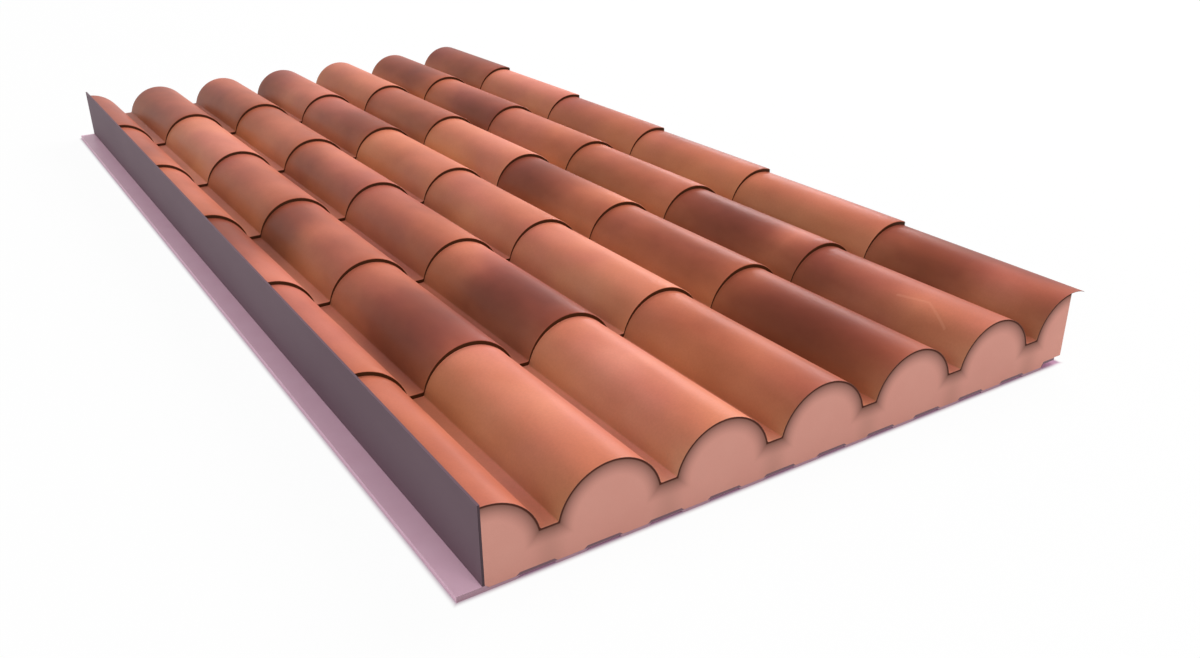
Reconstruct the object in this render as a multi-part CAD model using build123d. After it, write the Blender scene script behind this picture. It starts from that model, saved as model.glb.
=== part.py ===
"""Insulated roof panel with a tile-effect outer sheet, in millimetres.

x runs across the panel, y runs along it from the front (eaves) end to the far
end, and z is up from the surface that the panel lies on. While it is drawn,
x = 0 is the crest of the half ridge on the left and y = 0 is the front end.

Four pieces, each its own solid:
  outer_sheet      pressed steel sheet, seven crests by six stepped courses
  insulation_core  rigid foam between the outer sheet and the liner
  inner_sheet      ribbed liner, with a flange on its left and a rebate on its
                   right that takes the flange of the next panel
  side_strip       flat closure strip on the left side of the foam

The outer sheet takes the most skill: its section of arcs and bends is carried
back and down along each course, and the courses are joined by thin risers.
"""
import math
import os

from build123d import *

# The whole panel
LENGTH = 2400.0           # cut off there, wherever the last course has got to
COVER = 1100.0            # from the left crest to the last one, which laps the next panel

# Courses along the length
COURSE = 400.0            # length of one tile course
RISER = 8.0               # step up from the end of one course to the next nose

# Ridges across the width
PITCHES = 6               # from crest to crest, over the cover width
VALLEY_FLAT = 25.8        # flat floor of each valley
RIDGE = 63.0              # valley floor up to the crest

# Outer sheet
SHEET_T = 0.6             # steel
FOAM_IN_VALLEY = 57.0     # foam between liner and sheet, in a valley at a nose
LAP_RISE = 4.0            # the last ridge stands this much above the others
LAP_LIP = 28.0            # sheet beyond the last crest

# Liner
LINER_T = 4.4
RIB_RISE = 4.0            # upper face of a rib above the bays
RIB_FIRST = 47.0          # left side of the first rib
RIB_PITCH = 100.0
RIB_WIDTH = 50.0
RIB_SLOPE = 5.0           # run of each rib side

# Side joint: the flange goes under the rebate of the panel laid before it
FLANGE_REACH = 41.0       # beyond the left crest
FLANGE_T = 8.6
FLANGE_INSIDE = 1.0       # width of the flange under the foam
JOINT_GAP = 8.0           # between the flange's edge and the rebate
JOINT_PLAY = 0.4          # above the flange in the rebate

# Core
FOAM_SIDE = 2.0           # left face of the foam beyond the left crest
FOAM_SHORT = 6.0          # right face of the foam short of the last crest
LINER_SHORT = 15.0        # the liner ends this much before the foam
CORNER_RISE = 0.6         # foam underside beyond the liner, above the rebate

# Side strip
STRIP_T = 3.5
STRIP_PROUD = 3.0         # above the crests

# Sizes that follow from those above
COURSES = math.ceil((LENGTH - SHEET_T) / COURSE)
PITCH = COVER / PITCHES
VALLEY_Z = LINER_T + FOAM_IN_VALLEY + SHEET_T
HALF = PITCH / 2 - VALLEY_FLAT / 2
RIB_Z = LINER_T + RIB_RISE
CORE_RIGHT = COVER - FOAM_SHORT
LINER_END = CORE_RIGHT - LINER_SHORT
SHEET_RIGHT = COVER + LAP_LIP
REBATE_X = COVER - FLANGE_REACH - JOINT_GAP
REBATE_Z = FLANGE_T + JOINT_PLAY + LINER_T


def ridge(k, depth):
    """Centre, height of the centre and radius of ridge k, depth below the outer face."""
    height = RIDGE + (LAP_RISE if k == PITCHES else 0.0)
    r = (HALF * HALF + height * height) / (2 * height)
    return k * PITCH, VALLEY_Z + height - r, r - depth


def section(depth, right):
    """The pressed section from the foam's left side to x = right, depth below its outer face.

    Every ridge is one arc, and a straight floor joins it to the next. The arcs
    of the two faces share their centres, so the sheet is as thick everywhere.
    """
    rows = []
    floor_start = None
    for k in range(PITCHES + 1):
        cx, cz, r = ridge(k, depth)
        foot = math.acos((VALLEY_Z - depth - cz) / r)
        first = -foot if k else math.asin(-FOAM_SIDE / r)
        last = foot if k < PITCHES else math.asin((right - cx) / r)
        angles = (first, (first + last) / 2, last)
        arc = [(cx + r * math.sin(a), cz + r * math.cos(a)) for a in angles]
        if k:
            rows.append([floor_start, arc[0]])
        rows.append(arc)
        floor_start = arc[-1]
    return rows


def edges(rows, y, lift):
    """Lines and arcs of a section in the plane y."""
    made = []
    for row in rows:
        points = [(x, y, z + lift) for x, z in row]
        made.append(Line(*points) if len(points) == 2 else ThreePointArc(*points))
    return made


def between(upper, lower, y, upper_lift=0.0, lower_lift=0.0):
    """Flat face between two sections in the plane y."""
    top = edges(upper, y, upper_lift)
    bottom = edges(lower, y, lower_lift)
    left = Line(top[0] @ 0, bottom[0] @ 0)
    right = Line(top[-1] @ 1, bottom[-1] @ 1)
    return Face(Wire([item.edge() for item in [*top, *bottom, left, right]]))


def along(face, length):
    """Carry a face back by length, down by RISER over every COURSE."""
    return Solid.extrude(face, Vector(0, length, -RISER * length / COURSE))


def course_end(course):
    """Where a course ends: at the next riser, or at the end of the panel."""
    return LENGTH if course == COURSES - 1 else (course + 1) * COURSE


def prism(points):
    """Carry a closed outline in x and z straight back over the whole length."""
    outline = Wire.make_polygon([(x, 0, z) for x, z in points], close=True)
    return Solid.extrude(Face(outline), Vector(0, LENGTH, 0))


def single(shape):
    """The one solid that a join or a cut leaves."""
    solids = shape.solids()
    assert len(solids) == 1, len(solids)
    return solids[0]


def make_outer_sheet():
    """Six sloping courses, joined by risers that stand just behind each nose."""
    outer = section(0.0, SHEET_RIGHT)
    under = section(SHEET_T, SHEET_RIGHT)
    parts = []
    for course in range(COURSES):
        y = course * COURSE
        parts.append(along(between(outer, under, y), course_end(course) - y))
        if course:
            parts.append(along(between(under, under, y, 0.0, -RISER), SHEET_T))
    return single(parts[0].fuse(*parts[1:]))


def ribs():
    """Left sides of the ribs that fit between the flange and the rebate."""
    room = REBATE_X - 2 * RIB_SLOPE - RIB_FIRST - RIB_WIDTH
    return [RIB_FIRST + i * RIB_PITCH for i in range(int(room // RIB_PITCH) + 1)]


def liner_face(lift, bay, end):
    """One face of the liner from the flange to its right end, from left to right.

    lift is 0 on the upper face and LINER_T below it, and bay is the height of
    the bays there. On the side that the sheet bends away from, a slope keeps
    its run, so both faces have the same corners.
    """
    points = []
    for left in ribs():
        right = left + RIB_WIDTH
        points += [(left - RIB_SLOPE, bay), (left, RIB_Z - lift)]
        points += [(right, RIB_Z - lift), (right + RIB_SLOPE, bay)]
    points += [(REBATE_X - RIB_SLOPE, bay), (REBATE_X, REBATE_Z - lift)]
    points += [(end, REBATE_Z - lift)]
    return points


def liner_top():
    """Upper face of the liner, with the flange."""
    inner = FLANGE_INSIDE - FOAM_SIDE
    flange = [(-FLANGE_REACH, FLANGE_T), (inner, FLANGE_T), (inner + RIB_SLOPE, LINER_T)]
    return flange + liner_face(0.0, LINER_T, LINER_END)


def make_inner_sheet():
    """Ribbed liner; the ribs and the rebate are open below."""
    under = [(-FLANGE_REACH, 0.0)] + liner_face(LINER_T, 0.0, LINER_END)
    return prism(liner_top() + under[::-1])


def make_core():
    """Foam that fills the room between the outer sheet and the liner."""
    top = section(SHEET_T, CORE_RIGHT)
    deep = [[(-FOAM_SIDE, -RISER), (CORE_RIGHT, -RISER)]]
    parts = []
    for course in range(COURSES):
        start = course * COURSE + (SHEET_T if course else 0.0)
        end = min(course_end(course) + SHEET_T, LENGTH)
        lift = -RISER * (start - course * COURSE) / COURSE
        parts.append(along(between(top, deep, start, lift, lift), end - start))
    body = single(parts[0].fuse(*parts[1:]))
    corner_z = REBATE_Z + CORNER_RISE
    room = [(-FOAM_SIDE, FLANGE_T)] + [p for p in liner_top() if p[0] > -FOAM_SIDE]
    room += [(LINER_END, corner_z), (CORE_RIGHT, corner_z)]
    room += [(CORE_RIGHT, 2 * VALLEY_Z + RIDGE), (-FOAM_SIDE, 2 * VALLEY_Z + RIDGE)]
    return single(body.intersect(prism(room)))


def make_side_strip():
    """Strip that stands on the flange, against the foam."""
    right = -FOAM_SIDE
    left = right - STRIP_T
    top = VALLEY_Z + RIDGE + STRIP_PROUD
    return prism([(left, FLANGE_T), (right, FLANGE_T), (right, top), (left, top)])


# The origin moves to the middle of the panel, on the surface that it lies on.
middle = Location(((FLANGE_REACH - SHEET_RIGHT) / 2, -LENGTH / 2, 0))
nodes = {
    "outer_sheet": make_outer_sheet(),
    "insulation_core": make_core(),
    "inner_sheet": make_inner_sheet(),
    "side_strip": make_side_strip(),
}
os.makedirs("parts", exist_ok=True)
for name, solid in nodes.items():
    placed = solid.moved(middle)
    export_step(placed, f"parts/{name}.step")
    size = placed.bounding_box().size
    print(name, round(placed.volume), [round(v, 2) for v in size])
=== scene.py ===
# %% [markdown]
# # Insulated roof panel with a tile-effect face
#
# This lesson dresses a roof panel: a pressed and painted steel sheet that looks
# like rows of clay barrel tiles, stuck to a block of rigid foam with a ribbed
# liner below it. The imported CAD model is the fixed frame. It is loaded first, so
# that every new piece can take its place from it.

# %% Load the frame
import math

import bpy
import numpy as np
from mathutils import Matrix, Vector


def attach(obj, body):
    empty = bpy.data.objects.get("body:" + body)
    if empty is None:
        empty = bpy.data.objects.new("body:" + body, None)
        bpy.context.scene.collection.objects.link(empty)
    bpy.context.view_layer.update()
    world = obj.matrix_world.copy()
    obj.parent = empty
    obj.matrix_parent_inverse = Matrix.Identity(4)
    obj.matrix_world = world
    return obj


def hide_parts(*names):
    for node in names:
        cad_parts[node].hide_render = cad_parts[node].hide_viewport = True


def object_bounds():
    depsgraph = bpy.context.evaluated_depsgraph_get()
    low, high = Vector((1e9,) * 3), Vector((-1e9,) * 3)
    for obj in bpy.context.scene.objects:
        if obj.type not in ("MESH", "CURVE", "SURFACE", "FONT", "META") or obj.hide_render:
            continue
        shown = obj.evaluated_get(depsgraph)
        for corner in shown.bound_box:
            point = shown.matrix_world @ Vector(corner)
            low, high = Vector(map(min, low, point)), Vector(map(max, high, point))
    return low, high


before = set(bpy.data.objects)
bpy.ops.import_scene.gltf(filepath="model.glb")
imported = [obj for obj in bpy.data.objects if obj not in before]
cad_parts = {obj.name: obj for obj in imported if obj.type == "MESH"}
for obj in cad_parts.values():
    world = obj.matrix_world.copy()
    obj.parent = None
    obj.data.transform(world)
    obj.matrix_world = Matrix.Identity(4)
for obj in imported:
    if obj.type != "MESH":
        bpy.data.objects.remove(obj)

cad_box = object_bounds()
print("CAD nodes:", sorted(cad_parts))
print("CAD box:", [[round(v, 4) for v in corner] for corner in cad_box])

# %% [markdown]
# ## Camera
#
# The picture was matched once, from the corners of the panel and the
# ends of its courses. An eye, a point to look at, a small roll and a lens say
# all of it, and they are easier to read and to change than a matrix.

# %% Camera
EYE = Vector((-1.01301, -2.20183, 0.89022))
LOOK_AT = Vector((-0.0952, -0.7614, 0.06))
ROLL = math.radians(-0.525)
LENS = 33.56

camera_data = bpy.data.cameras.new("camera")
camera_data.lens = LENS
camera_data.sensor_width = 36.0
camera_data.clip_start = 0.05
camera_data.clip_end = 200.0
camera = bpy.data.objects.new("camera", camera_data)
turn = (LOOK_AT - EYE).to_track_quat("-Z", "Y").to_matrix()
turn = turn @ Matrix.Rotation(ROLL, 3, "Z")
camera.matrix_world = Matrix.Translation(EYE) @ turn.to_4x4()
bpy.context.scene.collection.objects.link(camera)
bpy.context.scene.camera = camera
print("camera", round((LOOK_AT - EYE).length, 3), "m from the panel, lens", LENS, "mm")

# %% [markdown]
# ## The sizes that every piece shares
#
# A pressed sheet is described by its section, seen from the end, and by its
# courses, seen from the side. These are the same values as in the CAD source,
# in metres. The bends have a small radius here, which the CAD leaves sharp.

# %% Shared sizes
MM = 0.001
COURSE = 400 * MM
COURSES = 6
RISER = 8 * MM
COVER = 1100 * MM
PITCHES = 6
PITCH = COVER / PITCHES
LENGTH = COURSE * COURSES
VALLEY_FLAT = 25.8 * MM
RIDGE = 63 * MM
LAP_RISE = 4 * MM
SHEET_T = 0.6 * MM
VALLEY_Z = 62 * MM
HALF = PITCH / 2 - VALLEY_FLAT / 2
FOAM_LEFT = -2 * MM
FOAM_RIGHT = COVER - 6 * MM
SHEET_RIGHT = COVER + 28 * MM
FLANGE_REACH = 41 * MM
MIDDLE = np.array([(FLANGE_REACH - SHEET_RIGHT) / 2, -LENGTH / 2, 0.0])

BEND = 3 * MM        # inside radius of the bend at the foot of a ridge
NOSE_R = 1.6 * MM    # radius over the front edge of a course
TOE_R = 1.2 * MM     # radius in the corner behind the end of a course
print("one course", COURSE, "m, crest to crest", round(PITCH, 4), "m")

# %% [markdown]
# ## Section of the sheet
#
# Each ridge is one arc, and a small bend carries it into the flat floor of the
# valley. A layer below the painted face has the same centres, so its arcs are
# smaller and its bends larger, and the layers stay parallel.

# %% Section
ARC_STEPS = 28
BEND_STEPS = 4


def ridge_circle(height):
    """Radius and centre height of the arc that is as high as this over its foot."""
    r = (HALF * HALF + height * height) / (2 * height)
    return r, VALLEY_Z + height - r


def section(depth, right):
    """Section at a depth below the painted face, as arrays x and z.

    A ridge point is centre + (r - depth) * (sin a, cos a). A bend point is its
    centre + (BEND + depth) * (sin a, cos a), with the centre BEND above the
    floor and BEND outside the ridge's arc. The angle a runs from left to right.
    """
    xs = []
    zs = []
    for k in range(PITCHES + 1):
        r, cz = ridge_circle(RIDGE + (LAP_RISE if k == PITCHES else 0.0))
        cx = k * PITCH
        reach = r + BEND
        bend_z = VALLEY_Z + BEND
        foot = math.acos((bend_z - cz) / reach)
        bend_x = reach * math.sin(foot)
        first = -foot if k else math.asin(FOAM_LEFT / (r - depth))
        last = foot if k < PITCHES else math.asin((right - cx) / (r - depth))
        steps = max(8, round(ARC_STEPS * (last - first) / (2 * foot)))
        pieces = [(cx, cz, r - depth, np.linspace(first, last, steps + 1))]
        if k:
            left_bend = np.linspace(math.pi, math.pi - foot, BEND_STEPS + 1)[:-1]
            pieces.insert(0, (cx - bend_x, bend_z, BEND + depth, left_bend))
        if k < PITCHES:
            right_bend = np.linspace(math.pi + foot, math.pi, BEND_STEPS + 1)[1:]
            pieces.append((cx + bend_x, bend_z, BEND + depth, right_bend))
        for px, pz, radius, a in pieces:
            xs.append(px + radius * np.sin(a))
            zs.append(pz + radius * np.cos(a))
    return np.concatenate(xs), np.concatenate(zs)


print("points in the section:", len(section(0.0, SHEET_RIGHT)[0]))

# %% [markdown]
# ## Courses seen from the side
#
# Going back from the front end, the sheet falls 8 mm over a course and then
# climbs straight up to the nose of the next one. Small arcs round the corner
# below the climb and the nose above it.

# %% Courses
SLOPE_ROWS = 13
ROUND_ROWS = 4


def courses(slope_rows, round_rows):
    """Side view of the painted face, as arrays y, lift and tilt.

    A slope row has lift = -RISER * (part of the course behind the nose) and no
    tilt. An arc row is its centre plus or minus the radius along the tilted
    normal. The tilt goes from 0 on a slope to a quarter turn on the climb.
    """
    fall = RISER / COURSE
    quarter = np.linspace(0.0, math.pi / 2, round_rows + 1)
    rows = []
    for course in range(COURSES):
        start = course * COURSE
        end = start + COURSE
        first = start + (NOSE_R if course else 0.0)
        last = end - (TOE_R if course < COURSES - 1 else 0.0)
        if course:
            tilt = quarter[::-1]
            y = first - NOSE_R * np.sin(tilt)
            lift = -fall * NOSE_R - NOSE_R * (1 - np.cos(tilt))
            rows.append(np.stack([y, lift, tilt, tilt * 0 + course], 1))
        y = np.linspace(first, last, slope_rows)
        y = y[1:] if course else y
        rows.append(np.stack([y, -fall * (y - start), y * 0, y * 0 + course], 1))
        if course < COURSES - 1:
            tilt = quarter[1:]
            y = last + TOE_R * np.sin(tilt)
            lift = -fall * (last - start) + TOE_R * (1 - np.cos(tilt))
            rows.append(np.stack([y, lift, tilt, tilt * 0 + course], 1))
    return np.concatenate(rows).T


print("rows along the panel:", courses(SLOPE_ROWS, ROUND_ROWS).shape[1])

# %% [markdown]
# ## From grids to a closed mesh
#
# A slab has an upper and a lower grid with the same rows and columns. Its four
# edges join the outer rows and columns of one grid to those of the other, so
# the mesh is closed from the start and needs no merging.

# %% Closed slab


def quads(a, b, c, d):
    """Faces from four index arrays, one corner each, in order round the face."""
    return np.stack([a.ravel(), b.ravel(), c.ravel(), d.ravel()], 1)


def grid_faces(index):
    """Faces of a grid of vertex numbers, with their fronts up."""
    return quads(index[:-1, :-1], index[:-1, 1:], index[1:, 1:], index[1:, :-1])


def closed_slab(name, upper, lower, fields=None, sharp=35.0):
    """Mesh object from an upper and a lower grid of points (rows, columns, xyz).

    fields holds numbers for the vertices, as name: (upper grid, lower grid).
    Faces of the four edges get material 1, and all others material 0.
    """
    rows, columns = upper.shape[:2]
    top = np.arange(rows * columns).reshape(rows, columns)
    low = top + rows * columns
    broad = np.concatenate([grid_faces(top), grid_faces(low)[:, ::-1]])
    front = quads(low[0, :-1], low[0, 1:], top[0, 1:], top[0, :-1])
    back = quads(low[-1, 1:], low[-1, :-1], top[-1, :-1], top[-1, 1:])
    left = quads(low[1:, 0], low[:-1, 0], top[:-1, 0], top[1:, 0])
    right = quads(low[:-1, -1], low[1:, -1], top[1:, -1], top[:-1, -1])
    faces = np.concatenate([broad, front, back, left, right])
    points = np.concatenate([upper.reshape(-1, 3), lower.reshape(-1, 3)]) + MIDDLE
    mesh = bpy.data.meshes.new(name)
    mesh.vertices.add(len(points))
    mesh.vertices.foreach_set("co", points.astype(np.float32).ravel())
    mesh.loops.add(faces.size)
    mesh.loops.foreach_set("vertex_index", faces.astype(np.int32).ravel())
    mesh.polygons.add(len(faces))
    mesh.polygons.foreach_set("loop_start", np.arange(0, faces.size, 4, dtype=np.int32))
    edge = np.arange(len(faces)) >= len(broad)
    mesh.polygons.foreach_set("material_index", edge.astype(np.int32))
    mesh.polygons.foreach_set("use_smooth", np.ones(len(faces), dtype=bool))
    for field, (on_top, below) in (fields or {}).items():
        values = np.concatenate([on_top.ravel(), below.ravel()]).astype(np.float32)
        mesh.attributes.new(field, "FLOAT", "POINT").data.foreach_set("value", values)
    mesh.update(calc_edges=True)
    mesh.validate()
    mesh.set_sharp_from_angle(angle=math.radians(sharp))
    piece = bpy.data.objects.new(name, mesh)
    bpy.context.scene.collection.objects.link(piece)
    print(name, "has", 2 * len(faces), "triangles")
    return piece


# %% [markdown]
# ## Outer sheet
#
# The painted face is the section carried along the courses. Its under face is
# the same surface moved inwards by the thickness: on a slope the section
# shrinks, and on a climb the whole section moves back.

# %% Surface of a pressed layer


def pressed_layer(depth, right, path):
    """Grid of a layer: the section at depth * cos(tilt), moved back depth * sin(tilt)."""
    y, lift, tilt = path[:3]
    grid = np.empty((len(y), len(section(depth, right)[0]), 3))
    for step in np.unique(tilt):
        x, z = section(depth * math.cos(step), right)
        same = tilt == step
        grid[same, :, 0] = x
        grid[same, :, 2] = z + lift[same, None]
    grid[:, :, 1] = (y + depth * np.sin(tilt))[:, None]
    return grid


path = courses(SLOPE_ROWS, ROUND_ROWS)
sheet_top = pressed_layer(0.0, SHEET_RIGHT, path)
sheet_low = pressed_layer(SHEET_T, SHEET_RIGHT, path)
sheet_low[-1, :, 1] = sheet_top[-1, :, 1]
print("sheet grid:", sheet_top.shape[:2])

# %% [markdown]
# ## Where the paint is dark and where it is pale
#
# The tile look is sprayed: every barrel has its own tone, with soft smoky
# patches that stop at the end of the course. Each patch is seven numbers: ridge,
# course, place across and along, reach across and along, and strength, below 0
# for smoke and above 0 for pale paint. The last five patches, right of the crest
# of ridge 6, are painted shade instead of smoke. They were set round by round,
# by comparing the render with the photo at the same places.

# %% Sprayed patches
PATCHES = [
    (0, 0, 0.2, 0.5, 3.0, 3.0, 0.05), (1, 0, 0.1, 0.5, 3.0, 3.0, 0.45),
    (2, 0, 0.1, 0.5, 3.0, 3.0, 0.60), (3, 0, 0.2, 0.4, 3.0, 3.0, 0.15),
    (3, 0, 0.40, 0.5, 0.5, 0.7, -0.30), (4, 0, -0.5, 0.55, 0.9, 0.55, -0.85),
    (4, 0, 0.5, 0.3, 0.8, 0.6, -0.25), (5, 0, -0.2, 0.95, 1.2, 0.30, -0.50),
    (5, 0, -0.5, 0.0, 0.7, 0.25, 0.40), (5, 0, 0.3, 0.4, 0.8, 0.5, -0.10),
    (6, 0, -0.5, 0.55, 0.9, 0.55, -0.80), (6, 0, 0.2, 0.0, 1.5, 0.15, 0.30),
    (0, 1, 0.3, 0.5, 3.0, 3.0, 0.10), (1, 1, 0.0, 0.30, 1.3, 0.42, -0.90),
    (1, 1, 0.2, 1.0, 1.5, 0.3, 0.20), (2, 1, -0.2, 0.35, 1.0, 0.42, -0.95),
    (2, 1, 0.2, 1.0, 1.5, 0.25, 0.35), (3, 1, 0.1, 0.5, 3.0, 3.0, 0.50),
    (4, 1, -0.4, 0.5, 0.8, 0.8, -0.20), (4, 1, 0.3, 0.5, 0.8, 0.8, -0.15),
    (5, 1, 0.0, 0.5, 1.5, 0.8, -0.80), (6, 1, 0.0, 0.5, 3.0, 3.0, 0.30),
    (0, 2, 0.2, 0.80, 1.5, 0.45, -0.70), (0, 2, 0.3, 0.0, 2.0, 0.4, 0.35),
    (1, 2, -0.6, 0.9, 0.9, 0.35, -0.60), (1, 2, 0.3, 0.2, 1.5, 0.5, 0.05),
    (2, 2, 0.0, 0.5, 3.0, 3.0, -0.15), (3, 2, 0.1, 0.5, 3.0, 3.0, 0.20),
    (3, 2, -0.5, 0.5, 0.7, 0.7, 0.15), (4, 2, -0.1, 0.75, 1.3, 0.40, -0.85),
    (4, 2, 0.5, 0.1, 0.8, 0.3, 0.40), (6, 2, 0.0, 0.5, 3.0, 3.0, 0.15),
    (6, 2, -0.9, 0.5, 0.5, 3.0, 0.35), (1, 3, 0.0, 0.5, 3.0, 3.0, -0.10),
    (2, 3, -0.6, 0.5, 0.7, 0.7, -0.30), (2, 3, 0.3, 0.5, 0.8, 0.6, 0.30),
    (3, 3, 0.1, 0.5, 3.0, 3.0, 0.40), (4, 3, 0.0, 0.5, 3.0, 3.0, 0.65),
    (5, 3, -0.4, 0.8, 1.0, 0.35, 0.25), (5, 3, 0.4, 0.5, 0.8, 3.0, -0.15),
    (6, 3, -0.9, 0.5, 0.5, 3.0, 0.40), (6, 3, 0.2, 0.5, 0.6, 3.0, -0.10),
    (0, 4, 0.3, 0.5, 3.0, 3.0, -0.10), (1, 4, -0.2, 0.5, 3.0, 3.0, 0.55),
    (2, 4, 0.5, 0.9, 0.8, 0.4, -0.30), (2, 4, -0.6, 0.5, 0.6, 0.6, 0.15),
    (3, 4, -0.1, 0.2, 1.2, 0.45, -0.75), (3, 4, -0.8, 0.5, 0.6, 3.0, 0.15),
    (4, 4, 0.1, 0.5, 3.0, 3.0, -0.15), (5, 4, -0.3, 0.2, 0.9, 0.45, -0.65),
    (6, 4, 0.0, 0.5, 3.0, 3.0, 0.50), (0, 5, 0.2, 0.5, 3.0, 3.0, -0.35),
    (1, 5, 0.0, 0.5, 0.9, 1.0, -0.45), (2, 5, -0.6, 0.5, 0.8, 3.0, -0.25),
    (2, 5, 0.2, 0.5, 0.8, 3.0, -0.05), (3, 5, -0.4, 0.9, 1.2, 0.4, -0.45),
    (3, 5, 0.0, 0.1, 1.5, 0.4, 0.20), (4, 5, 0.0, 0.5, 3.0, 3.0, 0.35),
    (5, 5, -0.2, 0.5, 1.2, 0.6, -0.75), (5, 5, -0.9, 0.5, 0.3, 3.0, 0.35),
    (6, 5, 0.1, 0.5, 3.0, 3.0, -0.60), (6, 5, -0.9, 0.5, 0.4, 3.0, 0.60),
    (1, 0, 0.12, 0.42, 0.35, 0.18, 0.30), (2, 0, -0.18, 0.62, 0.30, 0.15, 0.35),
    (3, 1, -0.40, 0.35, 0.35, 0.20, 0.25), (5, 1, -0.05, 0.17, 0.60, 0.13, 0.75),
    (6, 0, -0.52, 0.28, 0.45, 0.16, 0.75), (5, 0, -0.32, 0.33, 0.35, 0.14, 0.50),
    (1, 2, -0.29, 0.53, 0.35, 0.14, 0.30), (1, 3, -0.06, 0.33, 0.35, 0.14, 0.25),
    (3, 2, -0.55, 0.50, 0.30, 0.20, 0.40), (3, 5, -0.50, 0.38, 0.35, 0.15, 0.40),
    # Painted shade: the last patch on this line and the four below it darken ridge 6 right
    # of its crest.
    (2, 1, -0.40, 0.72, 0.35, 0.15, 0.30), (6, 0, 0.30, 0.5, 0.30, 3.0, -0.60),
    (6, 1, 0.30, 0.5, 0.30, 3.0, -0.60), (6, 2, 0.30, 0.5, 0.30, 3.0, -0.70),
    (6, 3, 0.30, 0.5, 0.30, 3.0, -0.30), (6, 5, 0.30, 0.5, 0.30, 3.0, -0.40),
]
VALLEY_FADE = 0.06    # how softly one barrel goes over into the next
VALLEY_PAINTED_LIGHT = 0.45    # painted light: the valley floors are lifted paler than the barrels beside them
VALLEY_WIDE = 0.09    # reach of the painted light on the valley floor, in pitches


def spray(grid, course):
    """Tone of every grid point: the sum of soft patches on its own barrel.

    A patch adds strength * exp(-(across / reach)^2 - (along / reach)^2), with
    across from -1 to 1 over a ridge and along from 0 to 1 over a course. At
    the middle of a valley one barrel fades into the next.
    """
    x = grid[:, :, 0] / PITCH
    along = grid[:, :, 1] / COURSE - course[:, None]
    tone = np.zeros(x.shape)
    for ridge, row, across_at, along_at, wide, deep, strength in PATCHES:
        across = (x - ridge) * 2
        own = 1 / (1 + np.exp((np.abs(across) - 1) / VALLEY_FADE))
        here = (course == row)[:, None]
        soft = np.exp(-((across - across_at) / wide) ** 2 - ((along - along_at) / deep) ** 2)
        tone += strength * soft * own * here
    # Painted light: the tone is lifted at the middle of each valley.
    return tone + VALLEY_PAINTED_LIGHT * np.exp(-((np.mod(x, 1.0) - 0.5) / VALLEY_WIDE) ** 2)


tone = spray(sheet_top, path[3])
climb = np.repeat(np.sin(path[2])[:, None], sheet_top.shape[1], axis=1)
valley = 1 - np.abs(np.mod(sheet_top[:, :, 0] / PITCH, 1.0) - 0.5) * 2
fields = {"tone": (tone, tone), "climb": (climb, climb), "valley": (valley, valley)}
sheet = closed_slab("outer_sheet_pressed", sheet_top, sheet_low, fields)
print("tone from", round(tone.min(), 2), "to", round(tone.max(), 2))

# %% [markdown]
# ## Foam core
#
# The foam fills the room between the sheet and the liner. Its columns are the
# points of the sheet's section and the corners of the liner together, so that
# both faces get their true corners.

# %% Foam core
LINER_T = 4.4 * MM
RIB_Z = 8.4 * MM
RIB_SLOPE = 5 * MM
RIB_WIDTH = 50 * MM
RIB_PITCH = 100 * MM
RIB_FIRST = 47 * MM
RIBS = 10
FLANGE_T = 8.6 * MM
FLANGE_INSIDE = -1 * MM
REBATE_X = 1051 * MM
REBATE_Z = 13.4 * MM
LINER_END = FOAM_RIGHT - 15 * MM
CORNER_Z = 14 * MM
HAIR = 0.05 * MM


def liner_corners():
    """Corners of the liner's upper face under the foam, from left to right."""
    points = [(FOAM_LEFT, FLANGE_T), (FLANGE_INSIDE, FLANGE_T)]
    points += [(FLANGE_INSIDE + RIB_SLOPE, LINER_T)]
    for i in range(RIBS):
        left = RIB_FIRST + i * RIB_PITCH
        right = left + RIB_WIDTH
        points += [(left - RIB_SLOPE, LINER_T), (left, RIB_Z)]
        points += [(right, RIB_Z), (right + RIB_SLOPE, LINER_T)]
    points += [(REBATE_X - RIB_SLOPE, LINER_T), (REBATE_X, REBATE_Z)]
    points += [(LINER_END, REBATE_Z), (LINER_END + HAIR, CORNER_Z), (FOAM_RIGHT, CORNER_Z)]
    return np.array(points).T


def core_grids(path):
    """Upper and lower grid of the foam: z of each layer is read off its section at x."""
    y, lift, tilt = path[:3]
    floor_x, floor_z = liner_corners()
    own_x = section(SHEET_T, FOAM_RIGHT)[0]
    near = np.abs(own_x[:, None] - floor_x[None, :]).min(1) < 0.4 * MM
    x = np.sort(np.concatenate([own_x[~near], floor_x]))
    upper = np.empty((len(y), len(x), 3))
    upper[:, :, 0] = x
    upper[:, :, 1] = (y + SHEET_T * np.sin(tilt))[:, None]
    for step in np.unique(tilt):
        sx, sz = section(SHEET_T * math.cos(step), FOAM_RIGHT)
        same = tilt == step
        upper[same, :, 2] = np.interp(x, sx, sz) + lift[same, None]
    lower = upper.copy()
    lower[:, :, 2] = np.interp(x, floor_x, floor_z)
    return upper, lower


core_top, core_low = core_grids(courses(4, 3))
core_top[-1, :, 1] = LENGTH
core_low[-1, :, 1] = LENGTH
lift = core_top[:, :, 2] - core_top[:1, :, 2]
fields = {"lift": (lift, lift)}
core = closed_slab("foam_core", core_top, core_low, fields)

# %% [markdown]
# ## Shader maths
#
# A material is a small program. One class wraps an output socket, so that sums
# and products of sockets are written as plain maths, and one method adds every
# other node: settings first, then the values and links of its sockets.

# %% Shader helpers


def srgb(red, green, blue):
    """Colour from 0 to 255, as it looks on screen, made linear."""
    parts = [value / 255 for value in (red, green, blue)]
    line = [p / 12.92 if p <= 0.04045 else ((p + 0.055) / 1.055) ** 2.4 for p in parts]
    return (*line, 1.0)


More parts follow.
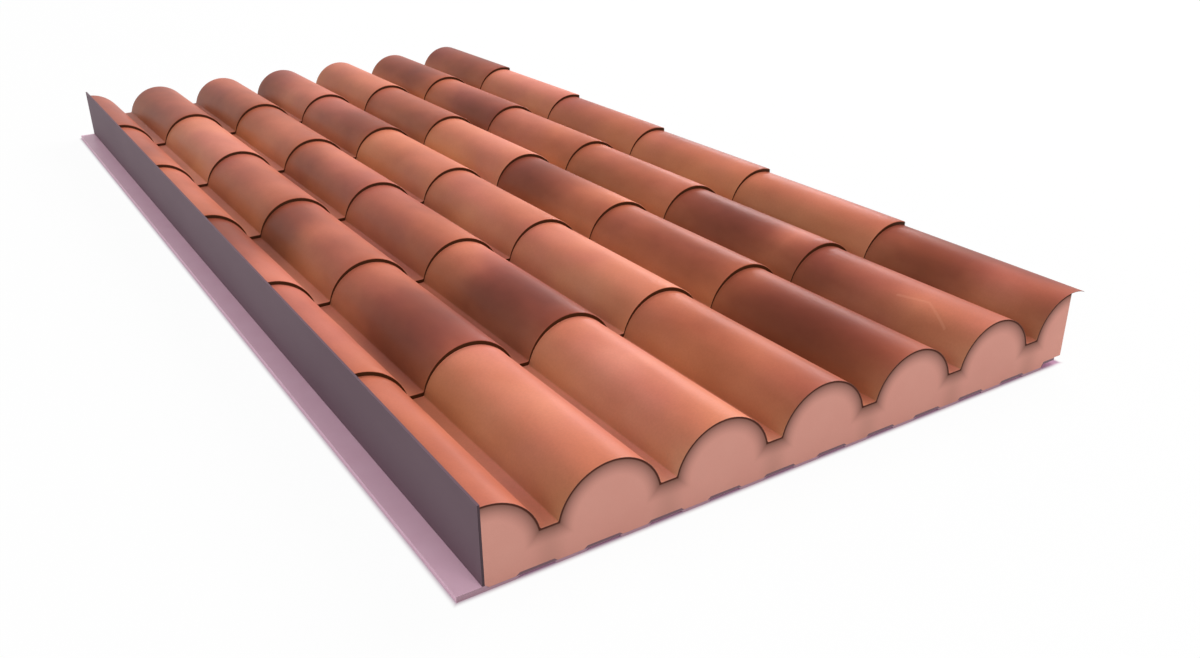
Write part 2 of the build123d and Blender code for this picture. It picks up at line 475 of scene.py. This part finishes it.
class Wire:
    """An output socket that can be added, multiplied and so on."""

    def __init__(self, finish, socket):
        self.finish = finish
        self.socket = socket

    def math(self, operation, *values, clamp=False):
        settings = {"operation": operation, "use_clamp": clamp}
        return self.finish.node("Math", settings, dict(enumerate((self, *values))))

    def __add__(self, other):
        return self.math("ADD", other)

    def __sub__(self, other):
        return self.math("SUBTRACT", other)

    def __mul__(self, other):
        return self.math("MULTIPLY", other)

    def __truediv__(self, other):
        return self.math("DIVIDE", other)

    def __pow__(self, other):
        return self.math("POWER", other)

    def __rsub__(self, other):
        settings = {"operation": "SUBTRACT"}
        return self.finish.node("Math", settings, {0: other, 1: self})

    def __rtruediv__(self, other):
        settings = {"operation": "DIVIDE"}
        return self.finish.node("Math", settings, {0: other, 1: self})

    __radd__ = __add__
    __rmul__ = __mul__


class Finish:
    """The node tree of a material or a world, in the making."""

    def __init__(self, owner, shader="Principled BSDF"):
        self.owner = owner
        owner.use_nodes = True
        self.tree = owner.node_tree
        self.shader = self.tree.nodes[shader]

    def put(self, socket, value):
        """Links a wire to a socket, or sets its value."""
        if isinstance(value, Wire):
            self.tree.links.new(value.socket, socket)
        else:
            socket.default_value = value

    def node(self, kind, settings=None, sockets=None, out=0):
        """Adds a node: settings first, then sockets by name or number."""
        node = self.tree.nodes.new("ShaderNode" + kind)
        for name, value in (settings or {}).items():
            if name == "stops":
                ramp = node.color_ramp.elements
                while len(ramp) < len(value):
                    ramp.new(0.5)
                for element, (place, colour) in zip(ramp, value):
                    element.position = place
                    element.color = colour
            else:
                setattr(node, name, value)
        for name, value in (sockets or {}).items():
            self.put(node.inputs[name], value)
        return Wire(self, node.outputs[out])

    def set(self, **values):
        """Sets sockets of the main shader: base_color is Base Color."""
        for name, value in values.items():
            socket = name.replace("_", " ").title().replace("Ior", "IOR")
            self.put(self.shader.inputs[socket], value)

    def place(self):
        """Object coordinates, in metres."""
        return self.node("TexCoord", out="Object")

    def axis(self, axis):
        """Place along one axis: 0, 1 or 2."""
        return self.node("SeparateXYZ", {}, {"Vector": self.place()}, out=axis)

    def field(self, name):
        """A number stored on the mesh."""
        return self.node("Attribute", {"attribute_name": name}, out="Fac")

    def noise(self, scale, detail=2.0, stretch=(1, 1, 1), rough=0.5):
        """Cloudy noise from 0 to 1, scale in cells to the metre."""
        moved = self.node("Mapping", {}, {"Vector": self.place(), "Scale": stretch})
        sockets = {"Vector": moved, "Scale": scale, "Detail": detail, "Roughness": rough}
        return self.node("TexNoise", {}, sockets)

    def mix(self, share, first, second):
        """One colour going over into another."""
        settings = {"data_type": "RGBA"}
        return self.node("Mix", settings, {0: share, 6: first, 7: second}, out=2)

    def band(self, value, low, high):
        """0 below low, 1 above high, and smooth between them."""
        settings = {"interpolation_type": "SMOOTHSTEP"}
        sockets = {"Value": value, "From Min": low, "From Max": high}
        return self.node("MapRange", settings, sockets)

    def tint(self, share, colour, factor):
        """A colour multiplied by another, by a share of it."""
        settings = {"data_type": "RGBA", "blend_type": "MULTIPLY"}
        return self.node("Mix", settings, {0: share, 6: colour, 7: factor}, out=2)

    def lean(self, axis):
        """Part of the surface's direction along an axis: 0, 1 or 2."""
        normal = self.node("NewGeometry", out="Normal")
        return self.node("SeparateXYZ", {}, {"Vector": normal}, out=axis)

    def facing(self, axis, low=0.8, high=0.97):
        """1 where the surface faces along an axis, either way."""
        return self.band(self.lean(axis).math("ABSOLUTE"), low, high)

    def bump(self, height, distance, strength=1.0):
        """Feeds a height to the main shader's normal, distance in metres."""
        sockets = {"Height": height, "Distance": distance, "Strength": strength}
        self.set(normal=self.node("Bump", {}, sockets))


print("shader helpers ready")

# %% [markdown]
# ## Paint
#
# Satin coil coating, sprayed in the tones of old clay. The stored tone picks
# the colour off a ramp from smoke to peach, with clouds over it. Tints turn it a
# little to ochre or rose. Painted shade turns the left flanks browner and darker,
# and painted light lifts the valley floors. One faint crease crosses a barrel,
# the cut edges are dark brown, and painted shade turns the climbs nearly black.

# %% Paint of the outer sheet


def near_line(finish, start, end, width):
    """1 on a short line over the sheet, falling to 0 at this width from it.

    The ends are given in pitches across and courses along. The nearest place
    on the line is start + share * (end - start), with share from 0 to 1.
    """
    from_x, to_x = [place[0] * PITCH + float(MIDDLE[0]) for place in (start, end)]
    from_y, to_y = [place[1] * COURSE + float(MIDDLE[1]) for place in (start, end)]
    run_x = to_x - from_x
    run_y = to_y - from_y
    off_x = finish.axis(0) - from_x
    off_y = finish.axis(1) - from_y
    share = (off_x * run_x + off_y * run_y) / (run_x ** 2 + run_y ** 2)
    share = share.math("MAXIMUM", 0.0).math("MINIMUM", 1.0)
    gap = ((off_x - share * run_x) ** 2 + (off_y - share * run_y) ** 2) ** 0.5
    return 1 - finish.band(gap, width / 4, width)


CREASE_BEND = (4.855, 0.30)    # in pitches across and courses along
CREASE_SHARE = 0.12

paint = Finish(bpy.data.materials.new("tile_paint"))
CLOUDINESS = 1.3
clouds = paint.noise(9.0, 4.0, stretch=(1.0, 0.5, 1.0))
grain = paint.noise(260.0, 3.0)
wisps = paint.noise(5.0, 3.0, stretch=(1.0, 0.7, 1.0), rough=0.45)
tone_here = paint.field("tone") + (clouds - 0.5) * CLOUDINESS
stops = [
    (0.0, srgb(128, 62, 48)), (0.25, srgb(158, 82, 64)), (0.5, srgb(196, 110, 86)),
    (0.75, srgb(224, 134, 106)), (1.0, srgb(244, 157, 128)),
]
colour = paint.node("ValToRGB", {"stops": stops}, {"Fac": tone_here * 0.5 + 0.5})
ochre = paint.band(wisps, 0.48, 0.66)
rose = paint.band(1 - wisps, 0.48, 0.66)
colour = paint.tint(ochre, colour, (1.0, 0.99, 0.90, 1))
colour = paint.tint(rose, colour, (0.97, 0.95, 1.08, 1))
colour = paint.mix((grain - 0.5) * 0.2 + 0.03, colour, srgb(120, 70, 55))
# Painted shade: the flanks that face left are turned browner and darker.
left_flank_painted_shade = paint.band(paint.lean(0) * -1, 0.3, 0.95)
colour = paint.tint(left_flank_painted_shade, colour, (0.74, 1.0, 0.88, 1))
# Painted light: the valley floors are tinted paler and less red.
valley_painted_light = paint.band(paint.field("valley"), 0.62, 0.95)
colour = paint.tint(valley_painted_light, colour, (0.96, 1.10, 1.13, 1))
crease = near_line(paint, (4.80, 0.45), CREASE_BEND, 3.5 * MM)
crease = crease.math("MAXIMUM", near_line(paint, CREASE_BEND, (4.70, 0.15), 3 * MM))
colour = paint.mix(crease * CREASE_SHARE, colour, srgb(255, 196, 164))
# Painted shade: the climbs are turned nearly black brown.
colour = paint.mix(paint.band(paint.field("climb"), 0.75, 0.98), colour, srgb(62, 32, 12))
paint.set(base_color=colour, roughness=clouds * 0.1 + 0.36, specular_ior_level=0.08)
paint.bump(grain, 0.00012, 0.5)

cut = Finish(bpy.data.materials.new("cut_steel_edge"))
burr = cut.noise(900.0, 2.0)
cut.set(base_color=cut.mix(burr, srgb(70, 32, 18), srgb(92, 46, 30)), roughness=0.6)
cut.bump(burr, 0.0001, 0.4)
sheet.data.materials.append(paint.owner)
sheet.data.materials.append(cut.owner)
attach(sheet, "root")
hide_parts("outer_sheet")
print("outer sheet painted")

# %% [markdown]
# ## Foam
#
# The cut face of rigid foam is matt with fine pores. Painted shade darkens it
# close below the sheet and a little under each valley, and a painted shadow line
# of dark brown follows the sheet. The depth below the sheet is worked out here
# from the section itself: the distance to the nearest ridge's arc or the valley
# floor, the larger of both.

# %% Foam finish
foam = Finish(bpy.data.materials.new("cut_foam"))
SHADE_REACH = 26 * MM
SHADOW_LINE_DEPTHS = (1.7 * MM, 3.1 * MM)    # depths where the painted shadow line starts to fade and ends
pores = foam.noise(700.0, 3.0, rough=0.6)
patchy = foam.noise(14.0, 3.0)
foam_x = foam.axis(0) - float(MIDDLE[0])
foam_z = foam.axis(2) - foam.field("lift")
across = ((foam_x / PITCH + 0.5).math("FRACT") - 0.5) * PITCH
plain_r, plain_z = ridge_circle(RIDGE)
lap_r, lap_z = ridge_circle(RIDGE + LAP_RISE)
lap = foam_x.math("GREATER_THAN", (PITCHES - 0.5) * PITCH)
up = foam_z - (lap * (lap_z - plain_z) + plain_z)
to_arc = lap * (lap_r - plain_r) + (plain_r - SHEET_T) - (across ** 2 + up ** 2) ** 0.5
below = to_arc.math("MAXIMUM", VALLEY_Z - SHEET_T - foam_z)
# Painted shade: the foam is darkened close below the sheet.
painted_shade_near_sheet = (1 - below / SHADE_REACH).math("MAXIMUM", 0.0) ** 1.5
colour = foam.mix(patchy, srgb(199, 139, 126), srgb(206, 149, 135))
from_valley = ((foam_x / PITCH).math("FRACT") - 0.5).math("ABSOLUTE")
# Painted shade: the foam is a little darker under each valley.
painted_shade_under_valley = 1 - foam.band(from_valley, 0.0, 0.17)
colour = foam.mix(painted_shade_under_valley * 0.22, colour, srgb(130, 98, 84))
colour = foam.mix(painted_shade_near_sheet * 0.96, colour, srgb(98, 66, 56))
colour = foam.mix((pores - 0.45) * 0.5, colour, srgb(150, 96, 84))
# Painted shadow: a dark brown line follows the sheet's edge.
painted_shadow_line = 1 - foam.band(below, *SHADOW_LINE_DEPTHS)
colour = foam.mix(painted_shadow_line * 0.97, colour, srgb(66, 28, 16))
foam.set(base_color=colour, roughness=0.92, specular_ior_level=0.2)
foam.bump(pores, 0.0004, 0.6)
core.data.materials.append(foam.owner)
core.data.materials.append(foam.owner)
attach(core, "root")
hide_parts("insulation_core")
print("foam finished")

# %% [markdown]
# ## Liner and side strip
#
# Both keep their CAD shape, and only their finish is new. Their cut ends are
# darker, and the liner's darkest of all, with painted shade, where a rib stands up into the
# foam.

# %% Liner and strip
liner = Finish(bpy.data.materials.new("liner_gelcoat"))
mottle = liner.noise(22.0, 3.0)
colour = liner.mix(mottle, srgb(246, 198, 219), srgb(255, 212, 232))
foam_at = float(MIDDLE[0]) + FLANGE_INSIDE
under_foam = liner.band(liner.axis(0), foam_at, foam_at + 6 * MM)
# Painted shade: the cut ends of the ribs that stand up into the foam are darker still.
rib_painted_shade = liner.band(liner.axis(2), 3.5 * MM, 5.2 * MM) * under_foam
edge_colour_and_rib_shade = liner.mix(rib_painted_shade, srgb(164, 130, 143), srgb(104, 74, 84))
colour = liner.mix(liner.facing(1), colour, edge_colour_and_rib_shade)
liner.set(base_color=colour, roughness=0.45)
liner.bump(liner.noise(300.0, 2.0), 0.0001, 0.4)

closure = Finish(bpy.data.materials.new("closure_strip"))
mottle = closure.noise(16.0, 3.0, (1, 0.3, 1))
colour = closure.mix(mottle, srgb(98, 74, 85), srgb(109, 85, 96))
colour = closure.mix(closure.facing(1), colour, srgb(52, 30, 40))
closure.set(base_color=colour, roughness=0.7)
closure.bump(closure.noise(500.0, 2.0), 0.0001, 0.4)

for node, finish in (("inner_sheet", liner), ("side_strip", closure)):
    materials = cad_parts[node].data.materials
    materials.clear()
    materials.append(finish.owner)
print("liner and strip finished")

# %% [markdown]
# ## Floor, world and lamps
#
# A studio with a white floor. The camera and glossy rays see nearly plain white,
# with a faint shadow left in it, while the other rays keep all of its shadow and
# bounce. Close beside the panel its soft shade stays in sight, and the floor's
# colour there is painted lilac as painted shade.

# %% Floor and world
floor_mesh = bpy.data.meshes.new("floor")
FLOOR = 30.0
corners = [(-FLOOR, -FLOOR, 0), (FLOOR, -FLOOR, 0), (FLOOR, FLOOR, 0), (-FLOOR, FLOOR, 0)]
floor_mesh.from_pydata(corners, [], [(0, 1, 2, 3)])
floor = bpy.data.objects.new("floor", floor_mesh)
bpy.context.scene.collection.objects.link(floor)


def seen_ray(finish):
    """1 for rays that show the background: camera, glossy and transmission rays."""
    seen = finish.node("LightPath", out="Is Camera Ray")
    for name in ("Is Glossy Ray", "Is Transmission Ray"):
        seen = seen.math("MAXIMUM", finish.node("LightPath", out=name))
    return seen


ground = Finish(bpy.data.materials.new("white_floor"))
ground.set(roughness=0.9, specular_ior_level=0.1)
glow = ground.node("Emission", {}, {"Color": (1, 1, 1, 1), "Strength": 1.0})
SHADOW_HIDDEN = 0.96
CONTACT = 9 * MM     # reach of the shade left beside the panel


def outside_panel(finish):
    """1 on the open floor, 0 under the panel, and soft shade close beside it.

    The lap lip is up in the air, so the panel's foot ends at the foam.
    """
    (x_low, y_low, _), (_, y_high, _) = cad_box
    x_high = FOAM_RIGHT + float(MIDDLE[0])
    side = (finish.axis(0) - (x_low + x_high) / 2).math("ABSOLUTE") - (x_high - x_low) / 2
    end = (finish.axis(1) - (y_low + y_high) / 2).math("ABSOLUTE") - (y_high - y_low) / 2
    return finish.band(side.math("MAXIMUM", end), -CONTACT / 3, CONTACT)


open_floor = outside_panel(ground)
# Painted shade: the floor's colour turns lilac close beside the panel.
painted_lilac_shade = ground.mix(open_floor, srgb(196, 156, 184), (0.9, 0.9, 0.9, 1))
ground.set(base_color=painted_lilac_shade)
hidden = seen_ray(ground) * open_floor * SHADOW_HIDDEN
sockets = {0: hidden, 1: Wire(ground, ground.shader.outputs[0]), 2: glow}
surface = ground.node("MixShader", {}, sockets)
ground.put(ground.tree.nodes["Material Output"].inputs["Surface"], surface)
floor_mesh.materials.append(ground.owner)

AMBIENT = 0.42
world = bpy.data.worlds.new("studio")
bpy.context.scene.world = world
sky = Finish(world, "Background")
sky.set(color=(1, 1, 1, 1), strength=seen_ray(sky) * (1 - AMBIENT) + AMBIENT)
print("world strength", AMBIENT)

# %% Lamps


def softbox(name, direction, distance, width, height, power, tint=(1, 1, 1), mirrored=True):
    """Area lamp at a distance from the panel's middle, turned towards it.

    A lamp that isn't mirrored lights the panel but leaves no sheen on it.
    """
    data = bpy.data.lights.new(name, "AREA")
    data.shape = "RECTANGLE"
    data.size = width
    data.size_y = height
    data.energy = power
    data.color = tint
    lamp = bpy.data.objects.new(name, data)
    aim = Vector(direction).normalized()
    turn = aim.to_track_quat("Z", "Y").to_matrix().to_4x4()
    lamp.matrix_world = Matrix.Translation(aim * distance + Vector((0, 0, 0.1))) @ turn
    lamp.visible_glossy = mirrored
    bpy.context.scene.collection.objects.link(lamp)
    return lamp


softbox("key", (0.85, 0.25, 0.65), 9.0, 6.0, 4.0, 660.0, mirrored=False)
softbox("sheen", (0.74, 0.63, 0.24), 9.0, 2.6, 1.4, 110.0, tint=(1.0, 0.82, 0.84))
softbox("front_fill", (0.1, -0.9, 0.30), 9.0, 5.0, 3.0, 225.0)
softbox("left_fill", (-0.80, -0.35, 0.50), 9.0, 5.0, 3.0, 95.0)
bpy.context.scene.view_settings.view_transform = "Standard"
